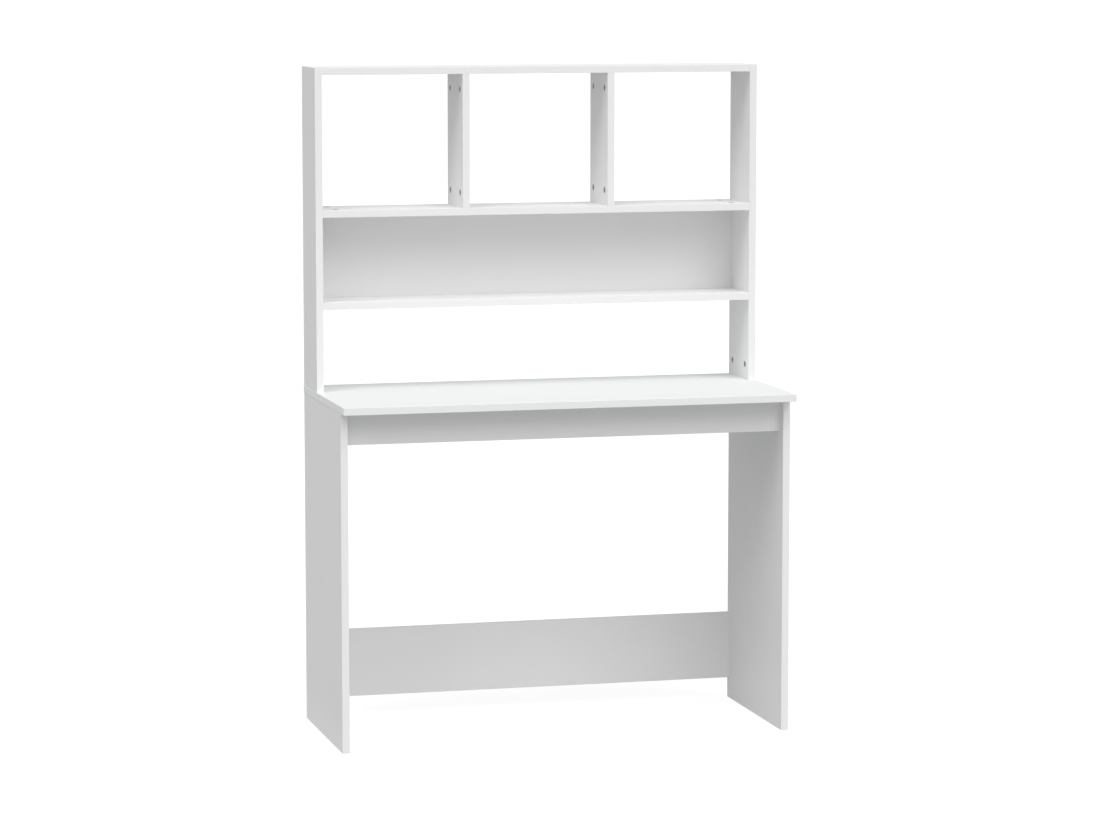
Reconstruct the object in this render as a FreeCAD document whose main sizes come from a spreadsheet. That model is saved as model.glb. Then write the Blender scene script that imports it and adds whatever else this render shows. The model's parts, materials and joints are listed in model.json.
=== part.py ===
import FreeCAD, Part
import Sketcher
import math
import os
import re

# Student desk with hutch: white chipboard boards, held by cam fittings and wooden dowels.
# Millimetres, +Z up, X across the desk, -Y towards the sitter.
# The origin lies on the floor under the middle of the desktop.

# Driving dimensions
SIZES = {
    # boards
    "board_thickness": 16,
    "desk_width": 1020,
    "desk_depth": 450,
    "side_overhang": 1,
    "front_overhang": 42,
    "leg_height": 746,
    "apron_height": 72,
    "apron_setback": 20,
    "modesty_height": 154,
    "modesty_rise": 48,
    "hutch_height": 718,
    "hutch_depth": 149,
    "lower_gap": 184,
    "middle_gap": 188,
    # edge bands
    "band_thickness": 1,
    "band_rounding": 0.6,
    # where the fittings sit along a joint
    "leg_cam_inset": 44,
    "hutch_cam_inset": 26,
    "modesty_cam_inset": 32,
    "back_cam_inset": 40,
    "apron_fitting_inset": 20,
    "edge_dowel_inset": 120,
    # cam locks
    "cam_setback": 34,
    "cam_bore_diameter": 15,
    "cam_floor": 3.5,
    "cam_clearance": 0.2,
    "cam_hollow_diameter": 10.4,
    "cam_hollow_clearance": 0.3,
    "cam_eccentricity": 0.6,
    "cam_cross_length": 8.4,
    "cam_cross_width": 1.8,
    "cam_cross_depth": 2.6,
    # cam bolts
    "bolt_shank_diameter": 7,
    "bolt_shank_clearance": 0.5,
    "bolt_neck_diameter": 4,
    "bolt_head_diameter": 6.4,
    "bolt_head_length": 3,
    "pilot_diameter": 5,
    "pilot_floor": 4.5,
    "thread_pitch": 1.8,
    "thread_depth": 0.5,
    # dowels
    "dowel_diameter": 8,
    "dowel_edge_depth": 20,
    "dowel_floor": 6,
    "dowel_chamfer": 1,
    "flute_width": 1.2,
    "flute_spacing": 2,
    # clearances shared by the round fits
    "fit_clearance": 0.05,
    "end_clearance": 0.5,
}

# Directions as an axis number and a sign
X, Y, Z = range(3)
WAYS = {
    "left": (X, -1),
    "right": (X, 1),
    "front": (Y, -1),
    "back": (Y, 1),
    "down": (Z, -1),
    "up": (Z, 1),
}

# For each axis: the origin plane square to it and the sign of that plane's normal
PLANES = (("YZ_Plane", 1), ("XZ_Plane", -1), ("XY_Plane", 1))

# Drawing size of new sketch lines, before the sheet's values take hold
DRAFT = 5.0

# How a sketch numbers its origin and the points of a line or circle
ORIGIN = -1
START, END, CENTRE = range(1, 4)

doc = FreeCAD.newDocument("student_desk")
sheet = doc.addObject("Spreadsheet::Sheet", "sizes")
for row, (alias, value) in enumerate(SIZES.items(), start=1):
    sheet.set(f"A{row}", alias.replace("_", " "))
    sheet.set(f"B{row}", str(value))
    sheet.setAlias(f"B{row}", alias)
doc.recompute()

nodes = []
fittings = {}


def bind(target, name, formula):
    """Tie a property to a formula of the sheet's names."""
    words = re.sub(r"[a-z_]+", lambda word: "sizes." + word.group(), formula)
    target.setExpression(name, words)


def bind_place(target, name, corner):
    """Tie the three coordinates of a placement."""
    for letter, formula in zip("xyz", corner):
        bind(target, f"{name}.Base.{letter}", formula)


def group(label, members):
    """One node of separate solids."""
    node = doc.addObject("Part::Compound", label)
    node.Links = members
    nodes.append(node)


# Boards and their edge bands


class Board:
    """A board's body, with the formulas of its lower corner and its size along X, Y and Z."""

    def __init__(self, body, family, corner, size):
        self.body = body
        self.family = family
        self.corner = corner
        self.size = size

    def face(self, way):
        """Where the face on that side lies along its axis."""
        axis, sign = WAYS[way]
        if sign < 0:
            return self.corner[axis]
        return f"({self.corner[axis]}) + ({self.size[axis]})"

    def middle(self, axis):
        return f"({self.corner[axis]}) + ({self.size[axis]}) / 2"

    def near_edges(self, axis, inset):
        """Two places along an axis, one inset from each edge."""
        low = f"({self.corner[axis]}) + {inset}"
        high = f"({self.corner[axis]}) + ({self.size[axis]}) - {inset}"
        return [low, high]

    def local(self, axis, formula):
        return f"({formula}) - ({self.corner[axis]})"


def long_outer_edges(shape, way):
    """Names of the two long edges of the face that looks that way."""
    axis, sign = WAYS[way]
    outer = max(shape.Faces, key=lambda face: sign * face.CenterOfMass[axis])
    chosen = sorted(outer.Edges, key=lambda edge: edge.Length)[-2:]
    numbered = enumerate(shape.Edges, start=1)
    return [f"Edge{number}" for number, edge in numbered if any(edge.isSame(one) for one in chosen)]


def edge_band(label, way, corner, size):
    """A strip glued to one side of a board, its two outer edges rounded."""
    axis, sign = WAYS[way]
    strip_corner = list(corner)
    strip_size = list(size)
    strip_size[axis] = "band_thickness"
    if sign > 0:
        strip_corner[axis] = f"({corner[axis]}) + ({size[axis]}) - band_thickness"
    body = doc.addObject("PartDesign::Body", f"{label}_{way}_band")
    strip = body.newObject("PartDesign::AdditiveBox", f"{label}_{way}_strip")
    for name, formula in zip(("Length", "Width", "Height"), strip_size):
        bind(strip, name, formula)
    strip.recompute()
    rounding = body.newObject("PartDesign::Fillet", f"{label}_{way}_rounding")
    rounding.Base = (strip, long_outer_edges(strip.Shape, way))
    bind(rounding, "Radius", "band_rounding")
    bind_place(body, "Placement", strip_corner)
    return body


def trimmed(way, corner, size):
    """The board that is left behind a band on that side."""
    axis, sign = WAYS[way]
    corner = list(corner)
    size = list(size)
    size[axis] = f"({size[axis]}) - band_thickness"
    if sign < 0:
        corner[axis] = f"({corner[axis]}) + band_thickness"
    return corner, size


def draw_rectangle(sketch, width, height):
    """A rectangle with one corner at the sketch's origin."""
    corners = [(0, 0), (DRAFT, 0), (DRAFT, DRAFT), (0, DRAFT)]
    points = [FreeCAD.Vector(x, y, 0) for x, y in corners]
    for start, end in zip(points, points[1:] + points[:1]):
        sketch.addGeometry(Part.LineSegment(start, end))
    bottom, right, top, left = range(4)
    for line, following in ((bottom, right), (right, top), (top, left), (left, bottom)):
        sketch.addConstraint(Sketcher.Constraint("Coincident", line, END, following, START))
    sketch.addConstraint(Sketcher.Constraint("Coincident", bottom, START, ORIGIN, START))
    for line in (bottom, top):
        sketch.addConstraint(Sketcher.Constraint("Horizontal", line))
    for line in (right, left):
        sketch.addConstraint(Sketcher.Constraint("Vertical", line))
    wide = sketch.addConstraint(Sketcher.Constraint("DistanceX", bottom, START, bottom, END, DRAFT))
    tall = sketch.addConstraint(Sketcher.Constraint("DistanceY", right, START, right, END, DRAFT))
    bind(sketch, f"Constraints[{wide}]", width)
    bind(sketch, f"Constraints[{tall}]", height)


def plane_sketch(body, axis):
    """A sketch on the body's own plane square to an axis."""
    role = PLANES[axis][0]
    plane = next(feature for feature in body.Origin.OriginFeatures if feature.Role == role)
    sketch = body.newObject("Sketcher::SketchObject", f"{body.Label}_sketch")
    sketch.AttachmentSupport = [(plane, "")]
    sketch.MapMode = "FlatFace"
    return sketch


def make_board(label, corner, size, banded=(), family=None):
    """A rectangular blank on its lower corner, with a band on each banded side."""
    bands = []
    for way in banded:
        bands.append(edge_band(label, way, corner, size))
        corner, size = trimmed(way, corner, size)
    body = doc.addObject("PartDesign::Body", label)
    outline = plane_sketch(body, Z)
    draw_rectangle(outline, size[X], size[Y])
    blank = body.newObject("PartDesign::Pad", f"{label}_blank")
    blank.Profile = outline
    bind(blank, "Length", size[Z])
    bind_place(body, "Placement", corner)
    nodes.append(body)
    if bands:
        group(f"{label}_edge_bands", bands)
    return Board(body, family or label, corner, size)


def drill(board, heading, start, diameter, depth, centres):
    """Round bores that enter the board at start and run along heading."""
    axis, sign = WAYS[heading]
    normal = PLANES[axis][1]
    across = [other for other in (X, Y, Z) if other != axis]
    sketch = plane_sketch(board.body, axis)
    bind(sketch, "AttachmentOffset.Base.z", f"{normal} * ({board.local(axis, start)})")
    for number, centre in enumerate(centres):
        point = FreeCAD.Vector(DRAFT, DRAFT * (number + 1), 0)
        sketch.addGeometry(Part.Circle(point, FreeCAD.Vector(0, 0, 1), DRAFT))
        if number == 0:
            width = sketch.addConstraint(Sketcher.Constraint("Diameter", 0, DRAFT))
            bind(sketch, f"Constraints[{width}]", diameter)
        else:
            sketch.addConstraint(Sketcher.Constraint("Equal", 0, number))
        for kind, other in zip(("DistanceX", "DistanceY"), across):
            distance = Sketcher.Constraint(kind, ORIGIN, START, number, CENTRE, DRAFT)
            place = sketch.addConstraint(distance)
            bind(sketch, f"Constraints[{place}]", board.local(other, centre[other]))
    bore = board.body.newObject("PartDesign::Pocket", f"{board.body.Label}_bores")
    bore.Profile = sketch
    bind(bore, "Length", depth)
    bore.Reversed = sign == normal


# Fittings: one drawn of each kind, then placed wherever a joint needs it

PILOT_DEPTH = "board_thickness - pilot_floor"
CAM_BORE_DEPTH = "board_thickness - cam_floor"
CAM_RADIUS = "cam_bore_diameter / 2 - cam_clearance"
CAM_HEIGHT = "board_thickness - cam_floor - cam_clearance"
CAM_HOLLOW_HEIGHT = "(bolt_head_diameter + 2 * cam_hollow_clearance)"
BOLT_LEVEL = "board_thickness / 2 - cam_floor"
BOLT_BORE = "bolt_shank_diameter + 2 * bolt_shank_clearance"
NECK_GAP = "bolt_neck_diameter + 2 * cam_clearance"
DOWEL_FACE_DEPTH = "board_thickness - dowel_floor"


def cylinder(body, kind, name, radius, height, base):
    """A round feature along Z that stands on base."""
    feature = body.newObject(f"PartDesign::{kind}Cylinder", name)
    bind(feature, "Radius", radius)
    bind(feature, "Height", height)
    bind_place(feature, "Placement", base)
    return feature


def block_cut(body, name, size, base):
    feature = body.newObject("PartDesign::SubtractiveBox", name)
    for side, formula in zip(("Length", "Width", "Height"), size):
        bind(feature, side, formula)
    bind_place(feature, "Placement", base)


def draw_cam_lock():
    """Zinc cam: Z looks out of the board, X points at the bolt, the base is the bore's floor."""
    body = doc.addObject("PartDesign::Body", "cam_lock")
    cylinder(body, "Additive", "cam_shell", CAM_RADIUS, CAM_HEIGHT, ("0", "0", "0"))
    hollow_base = ("-cam_eccentricity", "0", f"{BOLT_LEVEL} - {CAM_HOLLOW_HEIGHT} / 2")
    cylinder(body, "Subtractive", "cam_hollow", "cam_hollow_diameter / 2", CAM_HOLLOW_HEIGHT, hollow_base)
    slot_size = ("cam_bore_diameter", "2 * cam_bore_diameter", NECK_GAP)
    slot_base = ("0", "-cam_bore_diameter", f"{BOLT_LEVEL} - ({NECK_GAP}) / 2")
    block_cut(body, "cam_neck_slot", slot_size, slot_base)
    mouth_radius = "bolt_head_diameter / 2 + cam_clearance"
    mouth = body.newObject("PartDesign::SubtractiveCylinder", "cam_head_mouth")
    mouth.Placement.Rotation = FreeCAD.Rotation(FreeCAD.Vector(0, 0, 1), FreeCAD.Vector(0, -1, 0))
    bind(mouth, "Radius", mouth_radius)
    bind(mouth, "Height", "cam_bore_diameter")
    bind_place(mouth, "Placement", ("0", "0", BOLT_LEVEL))
    recess_base = f"{CAM_HEIGHT} - cam_cross_depth"
    arm = ("cam_cross_length", "cam_cross_width", "cam_cross_depth")
    block_cut(body, "cam_cross_arm", arm, ("-cam_cross_length / 2", "-cam_cross_width / 2", recess_base))
    bar = ("cam_cross_width", "cam_cross_length", "cam_cross_depth")
    block_cut(body, "cam_cross_bar", bar, ("-cam_cross_width / 2", "-cam_cross_length / 2", recess_base))
    return body


def draw_cam_bolt():
    """Steel bolt: the joint's plane is Z 0, the thread points up and the head hangs below."""
    body = doc.addObject("PartDesign::Body", "cam_bolt")
    shank_length = "cam_setback - cam_bore_diameter / 2 - end_clearance"
    # The head's shoulder bears on the wall of the cam's hollow, at the edges of the neck slot
    grip = f"((cam_hollow_diameter / 2)^2 - (bolt_head_diameter / 2)^2 + (({NECK_GAP}) / 2)^2)^0.5"
    shoulder = f"cam_setback + cam_eccentricity - {grip} + fit_clearance"
    neck_length = f"({shoulder}) - ({shank_length})"
    lowest = f"{shoulder} + bolt_head_length"
    crest = "pilot_diameter / 2 - fit_clearance"
    root = f"{crest} - thread_depth"
    thread_length = f"{PILOT_DEPTH} - end_clearance"
    turned = (
        ("bolt_head", "bolt_head_diameter / 2", "bolt_head_length", f"-({lowest})"),
        ("bolt_neck", "bolt_neck_diameter / 2", neck_length, f"-({shoulder})"),
        ("bolt_shank", "bolt_shank_diameter / 2", shank_length, f"-({shank_length})"),
        ("bolt_core", root, thread_length, "0"),
    )
    for name, radius, length, base in turned:
        cylinder(body, "Additive", name, radius, length, ("0", "0", base))
    # The thread is a row of rings round the core, as many as its length holds
    threaded = SIZES["board_thickness"] - SIZES["pilot_floor"] - SIZES["end_clearance"]
    for turn in range(int(threaded / SIZES["thread_pitch"])):
        for flank, (low_radius, high_radius) in enumerate(((root, crest), (crest, root))):
            ring = body.newObject("PartDesign::AdditiveCone", f"bolt_ring_{turn + 1}_{flank + 1}")
            bind(ring, "Radius1", low_radius)
            bind(ring, "Radius2", high_radius)
            bind(ring, "Height", "thread_pitch / 2")
            bind(ring, "Placement.Base.z", f"({turn} + {flank} / 2) * thread_pitch")
    return body


def draw_dowel():
    """Beech dowel: the joint's plane is Z 0, the short end points up."""
    body = doc.addObject("PartDesign::Body", "dowel")
    length = f"dowel_edge_depth + {DOWEL_FACE_DEPTH}"
    radius = "dowel_diameter / 2 - fit_clearance"
    peg = cylinder(body, "Additive", "dowel_peg", radius, length, ("0", "0", "-dowel_edge_depth"))
    peg.recompute()
    numbered = enumerate(peg.Shape.Edges, start=1)
    rims = [f"Edge{number}" for number, edge in numbered if isinstance(edge.Curve, Part.Circle)]
    chamfer = body.newObject("PartDesign::Chamfer", "dowel_ends")
    chamfer.Base = (peg, rims)
    bind(chamfer, "Size", "dowel_chamfer")
    # Shallow flutes run the dowel's whole length
    outline = plane_sketch(body, Z)
    bind(outline, "AttachmentOffset.Base.z", DOWEL_FACE_DEPTH)
    outline.addGeometry(Part.Circle(FreeCAD.Vector(DRAFT, 0, 0), FreeCAD.Vector(0, 0, 1), DRAFT))
    outline.addConstraint(Sketcher.Constraint("PointOnObject", 0, CENTRE, ORIGIN))
    width = outline.addConstraint(Sketcher.Constraint("Diameter", 0, DRAFT))
    reach = outline.addConstraint(Sketcher.Constraint("DistanceX", ORIGIN, START, 0, CENTRE, DRAFT))
    bind(outline, f"Constraints[{width}]", "flute_width")
    bind(outline, f"Constraints[{reach}]", radius)
    flute = body.newObject("PartDesign::Pocket", "dowel_flute")
    flute.Profile = outline
    bind(flute, "Length", length)
    flutes = body.newObject("PartDesign::PolarPattern", "dowel_flutes")
    flutes.Originals = [flute]
    flutes.Axis = (outline, ["N_Axis"])
    flutes.Occurrences = int(math.pi * SIZES["dowel_diameter"] / SIZES["flute_spacing"])
    body.Tip = flutes
    return body


cam_lock = draw_cam_lock()
cam_bolt = draw_cam_bolt()
dowel = draw_dowel()


def vector(way):
    axis, sign = WAYS[way]
    return FreeCAD.Vector(*[sign if axis == other else 0 for other in (X, Y, Z)])


def place_fitting(drawn, label, position, x_way, z_way):
    """One more copy of a drawn fitting, turned so that its X and Z look the given ways."""
    members = fittings.setdefault(label, [])
    copy = doc.addObject("App::Link", f"{label}_{len(members) + 1}")
    copy.LinkedObject = drawn
    x_axis = vector(x_way)
    z_axis = vector(z_way)
    turn = FreeCAD.Rotation(x_axis, z_axis.cross(x_axis), z_axis)
    copy.LinkPlacement = FreeCAD.Placement(FreeCAD.Vector(), turn)
    bind_place(copy, "LinkPlacement", position)
    members.append(copy)


def third_axis(first, second):
    return next(axis for axis in (X, Y, Z) if axis not in (first, second))


def spots(end_axis, plane, side_axis, level, rows):
    """Points on a joint's plane, at one level of the board's thickness, in the given rows."""
    row_axis = third_axis(end_axis, side_axis)
    points = []
    for row in rows:
        point = ["0", "0", "0"]
        point[end_axis] = plane
        point[side_axis] = level
        point[row_axis] = row
        points.append(point)
    return points


def opposite(way):
    return next(name for name, (axis, sign) in WAYS.items() if (axis, -sign) == WAYS[way])


def add_dowels(board, end, mate, side, rows):
    """Dowels half in the board's end and half in the mate's face."""
    end_axis = WAYS[end][0]
    side_axis = WAYS[side][0]
    plane = board.face(end)
    points = spots(end_axis, plane, side_axis, board.middle(side_axis), rows)
    edge_depth = "dowel_edge_depth + end_clearance"
    face_depth = f"{DOWEL_FACE_DEPTH} + end_clearance"
    drill(board, opposite(end), plane, "dowel_diameter", edge_depth, points)
    drill(mate, end, plane, "dowel_diameter", face_depth, points)
    for point in points:
        place_fitting(dowel, f"{board.family}_dowels", point, side, end)


def add_cam_fittings(board, end, mate, side, rows):
    """Cam locks in the board's face on that side, with bolts from the mate's face."""
    end_axis, end_sign = WAYS[end]
    side_axis, side_sign = WAYS[side]
    plane = board.face(end)
    points = spots(end_axis, plane, side_axis, board.middle(side_axis), rows)
    cam_centre = f"{plane} - {end_sign} * cam_setback"
    cam_seat = f"{board.face(side)} - {side_sign} * ({CAM_BORE_DEPTH})"
    cam_points = spots(end_axis, cam_centre, side_axis, cam_seat, rows)
    drill(board, opposite(side), board.face(side), "cam_bore_diameter", CAM_BORE_DEPTH, cam_points)
    drill(board, opposite(end), plane, BOLT_BORE, "cam_setback", points)
    drill(mate, end, plane, "pilot_diameter", PILOT_DEPTH, points)
    for cam_point, point in zip(cam_points, points):
        place_fitting(cam_lock, f"{board.family}_cam_locks", cam_point, end, side)
        place_fitting(cam_bolt, f"{board.family}_cam_bolts", point, side, end)


def join(board, end, mate, side, inset):
    """A butt joint: a cam fitting near each edge of the board's end and a dowel between."""
    row_axis = third_axis(WAYS[end][0], WAYS[side][0])
    add_cam_fittings(board, end, mate, side, board.near_edges(row_axis, inset))
    add_dowels(board, end, mate, side, [board.middle(row_axis)])


# The desk

THICK = "board_thickness"
OUTER = "desk_width / 2 - side_overhang"
BACK = "desk_depth / 2"
DESK_TOP = f"leg_height + {THICK}"
INNER_LEFT = f"-({OUTER}) + {THICK}"
INNER_RIGHT = f"{OUTER} - {THICK}"
INNER_WIDTH = f"2 * ({OUTER}) - 2 * {THICK}"

desktop = make_board(
    "desktop",
    ("-desk_width / 2", "-desk_depth / 2", "leg_height"),
    ("desk_width", "desk_depth", THICK),
    banded=("front", "back", "left", "right"),
)

LEG_FRONT = "-desk_depth / 2 + front_overhang"
leg_size = (THICK, "desk_depth - front_overhang", "leg_height")
left_leg = make_board("left_leg", (f"-({OUTER})", LEG_FRONT, "0"), leg_size, ("front", "back"), "leg")
right_leg = make_board("right_leg", (INNER_RIGHT, LEG_FRONT, "0"), leg_size, ("front", "back"), "leg")

front_apron = make_board(
    "front_apron",
    (INNER_LEFT, f"{LEG_FRONT} + apron_setback", "leg_height - apron_height"),
    (INNER_WIDTH, THICK, "apron_height"),
    banded=("down",),
)
modesty_panel = make_board(
    "modesty_panel",
    (INNER_LEFT, f"{BACK} - {THICK}", "modesty_rise"),
    (INNER_WIDTH, THICK, "modesty_height"),
    banded=("up", "down"),
)

# The hutch

HUTCH_FRONT = f"{BACK} - hutch_depth"
side_size = (THICK, "hutch_depth", "hutch_height")
side_bands = ("front", "back", "up")
hutch_left_side = make_board(
    "hutch_left_side", (f"-({OUTER})", HUTCH_FRONT, DESK_TOP), side_size, side_bands, "hutch_side"
)
hutch_right_side = make_board(
    "hutch_right_side", (INNER_RIGHT, HUTCH_FRONT, DESK_TOP), side_size, side_bands, "hutch_side"
)

LOWER_SHELF = f"{DESK_TOP} + lower_gap"
MIDDLE_FLOOR = f"{LOWER_SHELF} + {THICK}"
UPPER_SHELF = f"{MIDDLE_FLOOR} + middle_gap"
CUBBY_FLOOR = f"{UPPER_SHELF} + {THICK}"
HUTCH_TOP = f"{DESK_TOP} + hutch_height - {THICK}"
shelf_size = (INNER_WIDTH, "hutch_depth", THICK)
shelf_bands = ("front", "back")
lower_shelf = make_board("lower_shelf", (INNER_LEFT, HUTCH_FRONT, LOWER_SHELF), shelf_size, shelf_bands)
upper_shelf = make_board("upper_shelf", (INNER_LEFT, HUTCH_FRONT, UPPER_SHELF), shelf_size, shelf_bands)
hutch_top = make_board("hutch_top", (INNER_LEFT, HUTCH_FRONT, HUTCH_TOP), shelf_size, shelf_bands)

# Two dividers make three equal cubbies
CUBBY_WIDTH = f"({INNER_WIDTH} - 2 * {THICK}) / 3"
CUBBY_HEIGHT = f"{HUTCH_TOP} - ({CUBBY_FLOOR})"
divider_size = (THICK, "hutch_depth", CUBBY_HEIGHT)
left_divider_x = f"{INNER_LEFT} + {CUBBY_WIDTH}"
right_divider_x = f"{INNER_LEFT} + 2 * {CUBBY_WIDTH} + {THICK}"
left_divider = make_board(
    "left_divider", (left_divider_x, HUTCH_FRONT, CUBBY_FLOOR), divider_size, shelf_bands, "divider"
)
right_divider = make_board(
    "right_divider", (right_divider_x, HUTCH_FRONT, CUBBY_FLOOR), divider_size, shelf_bands, "divider"
)

hutch_back_panel = make_board(
    "hutch_back_panel",
    (INNER_LEFT, f"{BACK} - {THICK}", MIDDLE_FLOOR),
    (INNER_WIDTH, THICK, "middle_gap"),
)

# Joints

for leg, inner_face in ((left_leg, "right"), (right_leg, "left")):
    join(leg, "up", desktop, inner_face, "leg_cam_inset")

for side, inner_face in ((hutch_left_side, "right"), (hutch_right_side, "left")):
    join(side, "down", desktop, inner_face, "hutch_cam_inset")

for end, leg in (("left", left_leg), ("right", right_leg)):
    low_row, high_row = front_apron.near_edges(Z, "apron_fitting_inset")
    add_cam_fittings(front_apron, end, leg, "back", [low_row])
    add_dowels(front_apron, end, leg, "back", [high_row])
    join(modesty_panel, end, leg, "back", "modesty_cam_inset")

for end, side in (("left", hutch_left_side), ("right", hutch_right_side)):
    join(lower_shelf, end, side, "down", "hutch_cam_inset")
    join(upper_shelf, end, side, "up", "hutch_cam_inset")
    join(hutch_top, end, side, "down", "hutch_cam_inset")
    join(hutch_back_panel, end, side, "back", "back_cam_inset")

for divider in (left_divider, right_divider):
    join(divider, "up", hutch_top, "left", "hutch_cam_inset")
    join(divider, "down", upper_shelf, "left", "hutch_cam_inset")

for panel, end, mate in (
    (front_apron, "up", desktop),
    (hutch_back_panel, "up", upper_shelf),
    (hutch_back_panel, "down", lower_shelf),
):
    edge_rows = panel.near_edges(X, "edge_dowel_inset")
    add_dowels(panel, end, mate, "back", edge_rows + [panel.middle(X)])

for label, members in fittings.items():
    group(label, members)

doc.recompute()

# Nothing is written unless every object and solid is sound

for thing in doc.Objects:
    if "Invalid" in thing.State or "Error" in thing.State:
        raise RuntimeError(f"{thing.Label} did not recompute: {thing.State}")
    if thing.TypeId == "PartDesign::Pocket" and thing.Shape.Volume >= thing.BaseFeature.Shape.Volume:
        raise RuntimeError(f"{thing.Label} cuts nothing")
for node in nodes:
    if node.Shape.isNull() or not node.Shape.isValid():
        raise RuntimeError(f"{node.Label} has no sound shape")

os.makedirs("parts", exist_ok=True)
for node in nodes:
    node.Shape.exportStep(os.path.join("parts", f"{node.Label}.step"))
    print(f"{node.Label}: {len(node.Shape.Solids)} solids, {node.Shape.Volume:.0f} mm3")
print(f"{len(nodes)} nodes")
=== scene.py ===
import json
import math

import bmesh
import bpy
from mathutils import Euler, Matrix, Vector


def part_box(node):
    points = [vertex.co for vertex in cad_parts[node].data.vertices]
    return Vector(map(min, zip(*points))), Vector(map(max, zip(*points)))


# Student desk with hutch: the finishes of its boards and fittings, the light and the camera.
# Metres, +Z up, X across the desk, -Y towards the sitter.

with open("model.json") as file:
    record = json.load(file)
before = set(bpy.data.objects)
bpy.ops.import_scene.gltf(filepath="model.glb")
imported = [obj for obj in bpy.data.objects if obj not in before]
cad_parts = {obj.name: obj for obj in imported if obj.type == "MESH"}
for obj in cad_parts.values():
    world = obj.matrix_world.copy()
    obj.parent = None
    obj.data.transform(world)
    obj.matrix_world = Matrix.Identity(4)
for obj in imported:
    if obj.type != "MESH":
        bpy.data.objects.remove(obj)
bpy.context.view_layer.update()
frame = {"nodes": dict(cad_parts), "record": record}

MM = 0.001
AXES = range(3)

# Colours of the finishes; a white drifts from its first colour to its second
FACE_WHITE = ((0.872, 0.872, 0.872, 1.0), (0.860, 0.861, 0.861, 1.0))
BAND_WHITE = ((0.905, 0.905, 0.905, 1.0), (0.893, 0.894, 0.894, 1.0))
DESKTOP_FACE_WHITE = ((0.858, 0.880, 0.873, 1.0), (0.848, 0.871, 0.864, 1.0))
DESKTOP_BAND_WHITE = ((0.885, 0.907, 0.900, 1.0), (0.875, 0.898, 0.891, 1.0))
SEAM_GREY = (0.60, 0.59, 0.57, 1.0)
CHIP_LIGHT = (0.56, 0.42, 0.26, 1.0)
CHIP_DARK = (0.26, 0.17, 0.09, 1.0)
ZINC_LIGHT = (0.40, 0.405, 0.41, 1.0)
ZINC_DARK = (0.26, 0.262, 0.265, 1.0)
# Painted shade: the near-black the zinc is painted in its recesses
ZINC_RECESS_SHADE = (0.05, 0.05, 0.05, 1.0)
STEEL_LIGHT = (0.66, 0.65, 0.60, 1.0)
STEEL_DARK = (0.50, 0.49, 0.46, 1.0)
BEECH_LIGHT = (0.66, 0.47, 0.28, 1.0)
BEECH_DARK = (0.48, 0.31, 0.17, 1.0)

# Sizes of the patterns on them
MOTTLE_SIZE = 60 * MM
PEARL_SIZE = 0.6 * MM
PEARL_DEPTH = 0.008 * MM
SEAM_WIDTH = 0.2 * MM
CHIP_SIZE = 3 * MM
CHIP_DEPTH = 0.15 * MM
DUST_SIZE = 0.75 * MM
BAND_GRAIN_SIZE = 0.9 * MM
BAND_GRAIN_DEPTH = 0.006 * MM
CAST_GRAIN_SIZE = 0.4 * MM
CAST_GRAIN_DEPTH = 0.02 * MM
RECESS_REACH = 3 * MM
STEEL_GRAIN_SIZE = 0.5 * MM
STEEL_GRAIN_DEPTH = 0.004 * MM
BEECH_GRAIN_SIZE = 1.2 * MM
BEECH_FLECK_DEPTH = 0.02 * MM

# How finely each pattern breaks up below its size
PLAIN_DETAIL = 2.0
MOTTLE_DETAIL = 3.0
DUST_DETAIL = 4.0
CAST_GRAIN_DETAIL = 4.0
STEEL_GRAIN_DETAIL = 3.0
BEECH_GRAIN_DETAIL = 5.0

# How much the chips count against the dust between them, and the grain of beech against its flecks
CHIP_SHARE = 0.7
BEECH_GRAIN_SHARE = 0.7

# A board's surface is sawn where it faces less than this along the board's thickness
SAWN_FACING = 0.5

# Roughness from the smoothest to the roughest spots, and how strongly the whites reflect
FACE_ROUGHNESS = (0.60, 0.70)
CHIP_ROUGHNESS = 0.85
BAND_ROUGHNESS = (0.55, 0.65)
ZINC_ROUGHNESS = (0.38, 0.58)
STEEL_ROUGHNESS = (0.25, 0.40)
BEECH_ROUGHNESS = (0.60, 0.80)
FLOOR_ROUGHNESS = 0.9
WHITE_REFLECTION = 0.2

# Floor and even light of the studio
PURE_WHITE = (1.0, 1.0, 1.0, 1.0)
FLOOR_REACH = 600.0
FLOOR_WHITE = (0.25, 0.25, 0.25, 1.0)
FLOOR_GLOW = 0.82
DOME_STRENGTH = 0.353

# Soft lights round the desk: strength, turn from the front to the right, height and spread
SOFT_LIGHTS = {
    "key_light": (1.03, math.radians(30), math.radians(45), math.radians(45)),
    "left_light": (0.96, math.radians(-55), math.radians(52), math.radians(30)),
    "front_light": (0.40, math.radians(0), math.radians(10), math.radians(100)),
    "top_light": (0.71, math.radians(0), math.radians(90), math.radians(150)),
}

# Camera: it stands left of the desk's middle and looks a little down
CAMERA_PLACE = (-2.1532, -8.2655, 1.7520)
CAMERA_YAW = math.radians(14.636)
CAMERA_PITCH = math.radians(6.939)
CAMERA_LENS = 126.08
CAMERA_SENSOR = 36.0
CAMERA_FAR = 2000.0


def feed(socket, value):
    """Link a pattern to a socket, or set a plain number or colour there."""
    if isinstance(value, Pattern):
        socket.id_data.links.new(value.output, socket)
    else:
        socket.default_value = value


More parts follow.
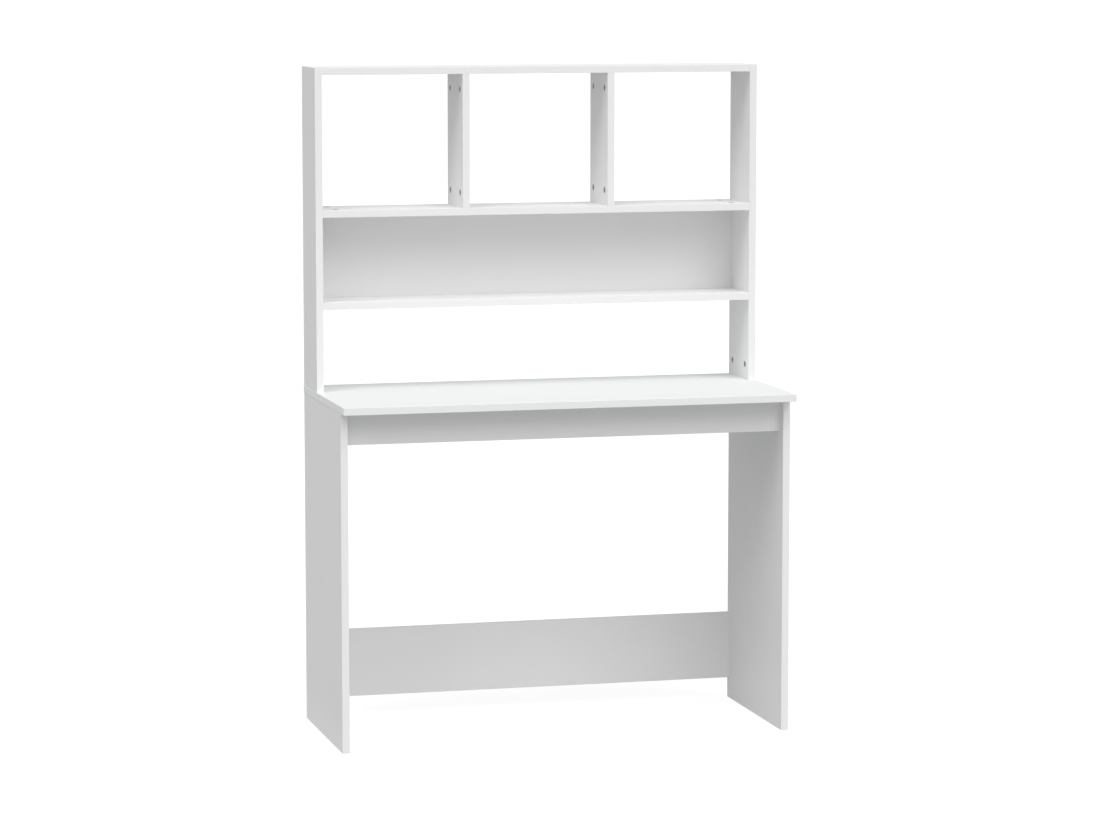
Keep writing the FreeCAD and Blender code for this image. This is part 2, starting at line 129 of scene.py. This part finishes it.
class Pattern:
    """What changes over a surface. Sums and products of patterns add their nodes to the material."""

    def __init__(self, output):
        self.output = output

    def node(self, kind, settings, inputs, result=None):
        """Any node of the same material: its settings, its sockets and the output that is wanted."""
        made = self.output.id_data.nodes.new(kind)
        for name, value in settings.items():
            setattr(made, name, value)
        sockets = {socket.identifier: socket for socket in made.inputs}
        for name, value in inputs.items():
            feed(sockets[name], value)
        outputs = {socket.identifier: socket for socket in made.outputs}
        return Pattern(outputs[result] if result else made.outputs[0])

    def maths(self, operation, first, second):
        """A sum, product or other reckoning with two values."""
        inputs = {"Value": first, "Value_001": second}
        return self.node("ShaderNodeMath", {"operation": operation}, inputs)

    def __add__(self, other):
        return self.maths("ADD", self, other)

    def __radd__(self, other):
        return self.maths("ADD", other, self)

    def __sub__(self, other):
        return self.maths("SUBTRACT", self, other)

    def __rsub__(self, other):
        return self.maths("SUBTRACT", other, self)

    def __mul__(self, other):
        return self.maths("MULTIPLY", self, other)

    def __rmul__(self, other):
        return self.maths("MULTIPLY", other, self)

    def __abs__(self):
        return self.maths("ABSOLUTE", self, 0.0)

    def __lt__(self, other):
        return self.maths("LESS_THAN", self, other)

    def at_least(self, other):
        """The larger of the two at each point."""
        return self.maths("MAXIMUM", self, other)

    def part(self, axis):
        """One coordinate of a place or direction."""
        return self.node("ShaderNodeSeparateXYZ", {}, {"Vector": self}, "XYZ"[axis])

    def clouds(self, size, detail=PLAIN_DETAIL):
        """Soft noise from 0 to 1 with features of the given size."""
        inputs = {"Vector": self, "Scale": 1 / size, "Detail": detail}
        return self.node("ShaderNodeTexNoise", {}, inputs, "Fac")

    def cells(self, size):
        """A random value from 0 to 1 for each of many small cells."""
        colour = self.node("ShaderNodeTexVoronoi", {}, {"Vector": self, "Scale": 1 / size}, "Color")
        return colour.part(0)

    def grade(self, first, second):
        """The first number where this is 0, the second where it is 1."""
        return first + (second - first) * self

    def between(self, first, second):
        """The first colour where this is 0, the second where it is 1."""
        inputs = {"Factor_Float": self, "A_Color": first, "B_Color": second}
        return self.node("ShaderNodeMix", {"data_type": "RGBA"}, inputs, "Result_Color")

    def fade(self, start, end):
        """1 up to the start, falling to 0 at the end."""
        inputs = {"Value": self, "From Min": start, "From Max": end, "To Min": 1.0, "To Max": 0.0}
        return self.node("ShaderNodeMapRange", {}, inputs)

    def relief(self):
        """A height in metres as a bump of the surface."""
        return self.node("ShaderNodeBump", {}, {"Height": self, "Strength": 1.0, "Distance": 1.0})


class Finish:
    """A material, with the place in metres and the direction of each point for its patterns."""

    def __init__(self, name):
        self.material = bpy.data.materials.new(name)
        self.material.use_nodes = True
        tree = self.material.node_tree
        self.shader = tree.nodes["Principled BSDF"]
        point = tree.nodes.new("ShaderNodeTexCoord")
        self.place = Pattern(point.outputs["Object"])
        self.facing = Pattern(point.outputs["Normal"])

    def shade(self, **sockets):
        """Feed the shader's sockets; base_color stands for Base Color."""
        inputs = {socket.name.lower().replace(" ", "_"): socket for socket in self.shader.inputs}
        for name, value in sockets.items():
            feed(inputs[name], value)


# Finishes


def chipboard(place):
    """Colour and height of the raw chips at a board's sawn ends and in its bores."""
    chips = place.cells(CHIP_SIZE)
    dust = place.clouds(DUST_SIZE, DUST_DETAIL)
    mixture = chips * CHIP_SHARE + dust * (1 - CHIP_SHARE)
    colour = mixture.between(CHIP_DARK, CHIP_LIGHT)
    return colour, chips * CHIP_DEPTH


def melamine(board, whites):
    """White faces with a fine pearl texture, a hairline along each edge and raw chipboard ends."""
    finish = Finish(f"melamine_{board}")
    low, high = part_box(board)
    thin = min(AXES, key=lambda axis: high[axis] - low[axis])
    sawn = abs(finish.facing.part(thin)) < SAWN_FACING
    edge_lines = []
    for axis in AXES:
        if axis != thin:
            middle = (low[axis] + high[axis]) / 2
            reach = (high[axis] - low[axis]) / 2
            inset = reach - abs(finish.place.part(axis) - middle)
            edge_lines.append(inset.fade(SEAM_WIDTH / 2, SEAM_WIDTH))
    seam = edge_lines[0].at_least(edge_lines[1])
    mottle = finish.place.clouds(MOTTLE_SIZE, MOTTLE_DETAIL)
    pearl = finish.place.clouds(PEARL_SIZE)
    white = mottle.between(*whites)
    chip_colour, chip_height = chipboard(finish.place)
    face_colour = seam.between(white, SEAM_GREY)
    finish.shade(
        base_color=sawn.between(face_colour, chip_colour),
        roughness=mottle.grade(*FACE_ROUGHNESS).at_least(CHIP_ROUGHNESS * sawn),
        specular_ior_level=WHITE_REFLECTION,
        normal=(pearl * PEARL_DEPTH * (1 - sawn) + chip_height * sawn).relief(),
    )
    return finish.material


def edge_band(name, whites):
    """White plastic strip, a little brighter and smoother than the board's faces."""
    finish = Finish(name)
    mottle = finish.place.clouds(MOTTLE_SIZE, MOTTLE_DETAIL)
    grain = finish.place.clouds(BAND_GRAIN_SIZE)
    finish.shade(
        base_color=mottle.between(*whites),
        roughness=mottle.grade(*BAND_ROUGHNESS),
        specular_ior_level=WHITE_REFLECTION,
        normal=(grain * BAND_GRAIN_DEPTH).relief(),
    )
    return finish.material


def cast_zinc():
    """Dull grey casting, grainy, with painted shade darkening the driver cross."""
    finish = Finish("cast_zinc")
    grain = finish.place.clouds(CAST_GRAIN_SIZE, CAST_GRAIN_DETAIL)
    reach = {"Distance": RECESS_REACH}
    # Painted shade: ambient occlusion darkens the colour in the driver cross and other recesses
    openness = finish.place.node("ShaderNodeAmbientOcclusion", {"only_local": True}, reach, "AO")
    casting = grain.between(ZINC_DARK, ZINC_LIGHT)
    finish.shade(
        base_color=openness.between(ZINC_RECESS_SHADE, casting),
        metallic=1.0,
        roughness=grain.grade(*ZINC_ROUGHNESS),
        normal=(grain * CAST_GRAIN_DEPTH).relief(),
    )
    return finish.material


def plated_steel():
    """Bright turned steel with a thin zinc plating."""
    finish = Finish("plated_steel")
    grain = finish.place.clouds(STEEL_GRAIN_SIZE, STEEL_GRAIN_DETAIL)
    finish.shade(
        base_color=grain.between(STEEL_DARK, STEEL_LIGHT),
        metallic=1.0,
        roughness=grain.grade(*STEEL_ROUGHNESS),
        normal=(grain * STEEL_GRAIN_DEPTH).relief(),
    )
    return finish.material


def beech():
    """Pale pink-brown wood with short dark flecks."""
    finish = Finish("beech")
    grain = finish.place.clouds(BEECH_GRAIN_SIZE, BEECH_GRAIN_DETAIL)
    flecks = finish.place.cells(BEECH_GRAIN_SIZE)
    mixture = grain * BEECH_GRAIN_SHARE + flecks * (1 - BEECH_GRAIN_SHARE)
    finish.shade(
        base_color=mixture.between(BEECH_DARK, BEECH_LIGHT),
        roughness=grain.grade(*BEECH_ROUGHNESS),
        normal=(flecks * BEECH_FLECK_DEPTH).relief(),
    )
    return finish.material


SHARED_FINISHES = {
    "white_edge_band": edge_band("white_edge_band", BAND_WHITE),
    "cast_zinc": cast_zinc(),
    "plated_steel": plated_steel(),
    "beech": beech(),
}

# The desktop and its bands are a slightly cooler white than the other boards
OWN_FINISHES = {
    "desktop": melamine("desktop", DESKTOP_FACE_WHITE),
    "desktop_edge_bands": edge_band("desktop_edge_band", DESKTOP_BAND_WHITE),
}

for subpart in frame["record"]["subparts"]:
    node = subpart["node"]
    slot = subpart["material_slot"]
    finish_material = OWN_FINISHES.get(node) or SHARED_FINISHES.get(slot) or melamine(node, FACE_WHITE)
    for material_slot in frame["nodes"][node].material_slots:
        material_slot.material = finish_material


# Studio


def white_floor():
    """A plain white floor, bright enough to merge with a white background."""
    finish = Finish("white_floor")
    finish.shade(
        base_color=FLOOR_WHITE,
        roughness=FLOOR_ROUGHNESS,
        emission_color=PURE_WHITE,
        emission_strength=FLOOR_GLOW,
    )
    shape = bmesh.new()
    bmesh.ops.create_grid(shape, x_segments=1, y_segments=1, size=FLOOR_REACH)
    mesh = bpy.data.meshes.new("floor")
    shape.to_mesh(mesh)
    shape.free()
    mesh.materials.append(finish.material)
    floor = bpy.data.objects.new("floor", mesh)
    bpy.context.scene.collection.objects.link(floor)
    floor.visible_diffuse = False
    floor.visible_shadow = False


def studio_light():
    """Dim even light from all round, and a few large soft lights."""
    world = bpy.data.worlds.new("studio")
    world.use_nodes = True
    dome = world.node_tree.nodes["Background"]
    dome.inputs["Color"].default_value = PURE_WHITE
    dome.inputs["Strength"].default_value = DOME_STRENGTH
    bpy.context.scene.world = world
    for name, (strength, turn, height, spread) in SOFT_LIGHTS.items():
        light = bpy.data.lights.new(name, "SUN")
        light.energy = strength
        light.angle = spread
        holder = bpy.data.objects.new(name, light)
        holder.rotation_euler = Euler((math.pi / 2 - height, 0.0, turn))
        bpy.context.scene.collection.objects.link(holder)


def photo_camera():
    """The camera at the photograph's viewing angle."""
    lens = bpy.data.cameras.new("camera")
    lens.sensor_width = CAMERA_SENSOR
    lens.lens = CAMERA_LENS
    lens.clip_end = CAMERA_FAR
    camera = bpy.data.objects.new("camera", lens)
    camera.location = CAMERA_PLACE
    camera.rotation_euler = Euler((math.pi / 2 - CAMERA_PITCH, 0.0, -CAMERA_YAW))
    bpy.context.scene.collection.objects.link(camera)
    bpy.context.scene.camera = camera


white_floor()
studio_light()
photo_camera()
bpy.context.scene.view_settings.view_transform = "Standard"
